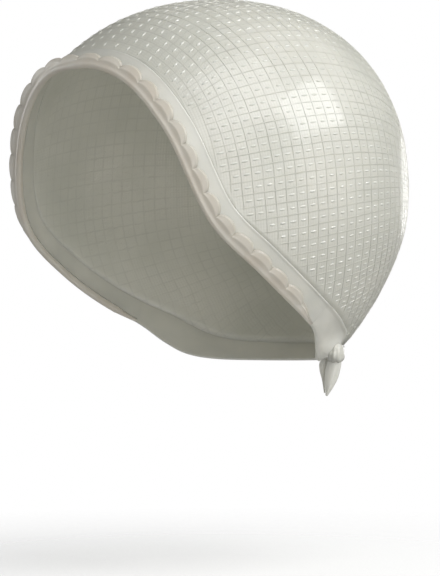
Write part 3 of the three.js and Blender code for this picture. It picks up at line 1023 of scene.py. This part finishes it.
bm = skin_from_grid(corners, len(hem_sections) - 1, hem_place)
# The rim attribute marks painted shade: 1 at the petals' rim corner, fading over a short reach.
rim_shade_tree = search_tree([place(*section[RIM_CORNER]) for place, section in hem_sections])
rim = bm.verts.layers.float_color.new("rim")
for vertex in bm.verts:
    near = bell(rim_shade_tree.find(vertex.co / MM)[2], RIM_SHADE_REACH)
    vertex[rim] = (near, near, near, 1)
piece_from(bm, "scalloped_hem", hem_rubber, ["scalloped_frill"])

# %% [markdown]
# ## The two ties
# Both ties are flat straps with soft edges. The left one fans out of the band and ends in a point in
# front of the knot, with the moulded line running down its back edge. The right one comes round the nape
# as a narrow strap. A flat tube follows the rows of the tables. It starts with the band's own section,
# so that no step shows between them, and near the knot it is lifted, as the pull of the knot does.

# %% The straps' section
TIE_WALL = 1.5
# share of the way across and of the wall, where the strap starts and further on
STRAP_TOP = [
    (0, 0.5, 0, 0.5),
    (0.02, 0.8, 0.02, 0.85),
    (0.07, 0.93, 0.07, 1.02),
    (0.16, 0.93, 0.16, 1),
    (0.35, 0.93, 0.35, 0.97),
    (0.6, 0.93, 0.6, 0.97),
    (0.8, 0.935, 0.8, 1),
    (0.933, 0.99, 0.88, 1.12),
    (0.958, 1.13, 0.93, 1.42),
    (0.983, 1.16, 0.97, 1.35),
    (1, 0.9, 1, 0.85),
]
STRAP_UNDER = [(0.98, 0.1), (0.8, 0), (0.6, 0), (0.4, 0), (0.2, 0), (0.02, 0.1)]
START_SHARE = 0.12


def strap_corner(corner, v):
    """A corner of the strap's section at v: the band's at the start, and its own soon after."""
    corner %= len(STRAP_TOP) + len(STRAP_UNDER)
    if corner >= len(STRAP_TOP):
        return STRAP_UNDER[corner - len(STRAP_TOP)]
    row = STRAP_TOP[corner]
    return mixed_rows(row[:2], row[2:], eased(v / START_SHARE))


print("a strap has", len(STRAP_TOP) + len(STRAP_UNDER), "corners round it")

# %% Lay the straps
LEFT_PULL, RIGHT_PULL = 6, 1.2  # how far the knot lifts each strap
PULL_REACH = 5.4
LEFT_STEPS, RIGHT_STEPS = 98, 220


def strap_skin(rows, steps, side, pull):
    """A flat strap along the rows of a table. side is 1 on the left and -1 on the right."""
    corners = len(STRAP_TOP) + len(STRAP_UNDER)

    def place(u, v):
        share, height = strap_corner(round(u * corners), v)
        front_turn, front_fall, back_turn, back_fall = smooth_row(rows, v)
        turn = front_turn + (back_turn - front_turn) * share
        fall = front_fall + (back_fall - front_fall) * share
        point = on_head(side * turn, fall)
        pulled = pull * bell((point - knot_foot).length, PULL_REACH)
        return point + outwards(point) * (TIE_WALL * height + pulled)

    return skin_from_grid(corners, steps, place)


bm = strap_skin(left_tie_rows, LEFT_STEPS, 1, LEFT_PULL)
piece_from(bm, "left_strap", band_rubber, ["left_tie"])
bm = strap_skin(right_tie_rows, RIGHT_STEPS, -1, RIGHT_PULL)
piece_from(bm, "right_strap", band_rubber, ["right_tie"])

# %% [markdown]
# ## The knot
# The two straps are pulled through each other once, so what shows is a small tight ball with upright
# folds and a shallow groove, narrower below, where the tails come out. A ball is pressed in along the
# groove, rippled, and made a little lumpy; two real straps tied in a knot would look the same at this
# size. Bunched rubber lets less light through, so the knot's finish passes less of it; its tones are
# also darker than the straps', which paints shade onto the knot.

# %% Tie the knot
KNOT_SIZE = Vector((10, 9.8, 8))  # across, upwards and outwards
KNOT_WRAP = 0.05  # the groove's depth as a share of the size; so are the next two
FOLD_DEPTH = 0.05
KNOT_LUMPS = 0.06
KNOT_TAPER = 0.34
KNOT_LEAN = 1.9
knot_lift = TIE_WALL + GAP + KNOT_SIZE.z / 2 * (1 - 0.8 * KNOT_WRAP)
knot_centre = knot_foot + knot_out * knot_lift
knot_axes = Matrix((knot_side, knot_up, knot_out)).transposed()
bm = bmesh.new()
bmesh.ops.create_uvsphere(bm, u_segments=64, v_segments=40, radius=1)
for vertex in bm.verts:
    p = Vector((vertex.co.x, vertex.co.z, -vertex.co.y))
    back = min(max(p.x + 0.5, 0.0), 1.0)
    front_groove = bell(p.y - 0.6 * p.z - 0.42, 0.16) * (1 - back)
    back_groove = bell(p.y + 0.7 * p.x, 0.28) * back
    groove = 1 - KNOT_WRAP * (front_groove + back_groove)
    folds = 1 + FOLD_DEPTH * math.sin(11 * p.z + 5 * p.y + 2 * p.x) * (1 - p.y * p.y)
    taper = 1 - KNOT_TAPER * max(0.0, -p.y) ** 1.5
    lumps = 1 + KNOT_LUMPS * noise.noise(p * 1.7)
    local = Vector([p[k] * KNOT_SIZE[k] / 2 for k in range(3)]) * groove * folds * lumps
    local.x *= taper
    local.z *= taper
    local.z -= KNOT_LEAN * max(0.0, p.y) ** 1.5
    vertex.co = (knot_centre + knot_axes @ local) * MM
# The knot's tones are darker than the straps': painted shade on the knot.
knot_shaded_rubber = rubber("knot_shaded_rubber", (0.53, 0.53, 0.485), (0.61, 0.6, 0.55), 30, 0.46, 0.25, 0.2)
piece_from(bm, "strap_knot", knot_shaded_rubber, ["nape_knot"])

# %% [markdown]
# ## The two tails
# Below the knot the cut ends of the straps hang down as two short tails, creased lengthwise and cut to a
# point. Each is a flat tube whose section changes on the way down, row by row of a table.

# %% Hang the tails
TAIL_WALL = 1.6
# millimetres down, sideways, half width, fold
FRONT_TAIL = [
    (0, -0.2, 2, 0.6),
    (3.4, -0.8, 3.1, 1.1),
    (9.4, -2, 3, 1),
    (13.8, -3, 1.8, 0.7),
    (17.6, -4.1, 0.4, 0.1),
]
BACK_TAIL = [
    (0, -2, 2.2, -0.4),
    (3, -4, 3, -0.7),
    (6.6, -4.4, 2.7, -0.6),
    (11, -4.2, 1.8, -0.4),
    (16.4, -4.8, 0.4, -0.1),
]
FRONT_FACES, BACK_FACES = 54, 44
FRONT_OUT, BACK_OUT = 1.1, -0.9
TAIL_CORNERS = 9
TAIL_STEPS = 40


def tail_skin(table, faces, out):
    """A hanging strap end. Its flat side looks to the turn faces, and out is its way off the knot."""
    cosine, sine = cos_sin(faces)
    side, face = Vector((cosine, sine, 0)), Vector((sine, -cosine, 0))
    around = 2 * TAIL_CORNERS

    def place(u, v):
        down, sideways, half_width, fold = smooth_row(table, v)
        corner = round(u * around) % around
        front = corner < TAIL_CORNERS
        share = (corner if front else around - 1 - corner) / (TAIL_CORNERS - 1)
        across = 2 * share - 1
        wall = TAIL_WALL / 2 * (1 - 0.45 * across**4)
        crease = fold * (1 - abs(across)) ** 0.8 + 0.12 * half_width / 3 * math.sin(9 * across)
        centre = knot_centre + side * (sideways + across * half_width) + face * (out + crease)
        centre.z -= down
        return centre + face * (wall if front else -wall)

    return skin_from_grid(around, TAIL_STEPS, place)


bm = tail_skin(FRONT_TAIL, FRONT_FACES, FRONT_OUT)
piece_from(bm, "front_strap_end", band_rubber, ["front_tail"])
bm = tail_skin(BACK_TAIL, BACK_FACES, BACK_OUT)
piece_from(bm, "back_strap_end", band_rubber, ["back_tail"])

# %% [markdown]
# ## Floor, light and camera
# The cap keeps the form that it has on a head, so it stands in the air over a plain pale floor, which
# fades out at its edge. The camera is level with the ears and looks at the cap from its front left,
# through a long lens. A soft light at the side draws a bright patch on the dome, and a weak one from
# behind a bright strip along its back. Broad ones light the film from the left and from above, two more
# reach the far side and the underside, and the pale surroundings fill the rest.

# %% The floor's finish
FLOOR_RADIUS = 0.36
FADE_FROM, FADE_TO = 0.04, 0.8 * FLOOR_RADIUS
floor_material = bpy.data.materials.new("pale_floor")
tree = empty_tree(floor_material)
ground = node_into(tree, "TexCoord").outputs["Object"]
level_place = node_into(tree, "Mapping", Vector=ground, Scale=(1, 1, 0)).outputs["Vector"]
length = node_into(tree, "VectorMath", Vector=level_place)
length.operation = "LENGTH"
speckle = clouds(tree, 900, detail=2)
paper = colour_ramp(tree, speckle, [(0.3, (0.79, 0.79, 0.78)), (0.7, (0.84, 0.84, 0.83))])
matt = node_into(tree, "BsdfPrincipled", Base_Color=paper, Roughness=0.9)
clear = node_into(tree, "BsdfTransparent")
fade = value_range(tree, length.outputs["Value"], 0.5, 1, FADE_FROM, FADE_TO)
show_mix(tree, "OutputMaterial", fade, matt, clear)

# %% Floor
FLOOR_LEVEL = -0.249
bm = bmesh.new()
low_point = Matrix.Translation((0, 0, FLOOR_LEVEL))
bmesh.ops.create_circle(bm, cap_ends=True, segments=96, radius=FLOOR_RADIUS, matrix=low_point)
floor = object_from(mesh_from(bm, "floor", floor_material))
print("floor: radius", FLOOR_RADIUS, "at", FLOOR_LEVEL)


# %% Lights
LIGHT_TARGET = Vector((0, 0, -0.08))


def direction_to(turn, rise):
    """The direction away from the cap at a turn and a rise over the level."""
    cosine, sine = cos_sin(turn)
    level, up = cos_sin(rise)
    return Vector((sine * level, -cosine * level, up))


def placed(data, target, direction, distance):
    """Puts a light or the camera at a distance from its target, looking at it."""
    obj = object_from(data)
    obj.location = target + direction * distance
    obj.rotation_euler = direction.to_track_quat("Z", "Y").to_euler()
    return obj


def soft_light(name, turn, rise, distance, width, height, power, colour=(1, 1, 1), shape="RECTANGLE"):
    """A flat light that looks at the cap. Lengths are in metres, power in watts."""
    data = bpy.data.lights.new(name, "AREA")
    data.shape, data.size, data.size_y = shape, width, height
    data.energy, data.color = power, colour
    lamp = placed(data, LIGHT_TARGET, direction_to(turn, rise), distance)
    lamp.visible_camera = False


soft_light("side_softbox", 134, 34, 1.1, 0.56, 0.38, 6.4)
soft_light("broad_side", 92, 14, 1.8, 2.3, 2.0, 17.5, (1, 0.995, 0.98))
soft_light("high_side", 72, 46, 1.5, 1.2, 1.1, 5.8)
soft_light("high_fill", 100, 54, 1.5, 0.9, 0.9, 9.5)
soft_light("back_strip", 205, 2, 1.1, 0.42, 0.24, 1.05, shape="ELLIPSE")
soft_light("far_side", 290, 4, 1.8, 1.4, 1.0, 12)
soft_light("low_fill", 62, -10, 1.8, 1.6, 0.6, 4.5)
print("lights:", [light.name for light in bpy.data.lights])

# %% The pale surroundings
world = bpy.data.worlds.new("pale_room")
tree = empty_tree(world)
seen = node_into(tree, "Background", Color=(1, 1, 1, 1), Strength=1.0)
fill = node_into(tree, "Background", Color=(1, 1, 0.99, 1), Strength=0.24)
rays = node_into(tree, "LightPath")
show_mix(tree, "OutputWorld", rays.outputs["Is Camera Ray"], fill, seen)
scene.world = world
scene.view_settings.view_transform = "Standard"

# %% Camera
CAMERA_TURN = 51.3
CAMERA_RISE = 0.06
CAMERA_DISTANCE = 1.105
LENS = 155.8
AIM_HEIGHT = -0.1258
AIM_SIDE = -0.00198
aim = Vector((*cos_sin(CAMERA_TURN), 0)) * AIM_SIDE + Vector((0, 0, AIM_HEIGHT))
camera_data = bpy.data.cameras.new("camera")
camera_data.lens = LENS
camera_data.clip_start = 0.05
camera = placed(camera_data, aim, direction_to(CAMERA_TURN, CAMERA_RISE), CAMERA_DISTANCE)
scene.camera = camera
print("camera at", camera.location)
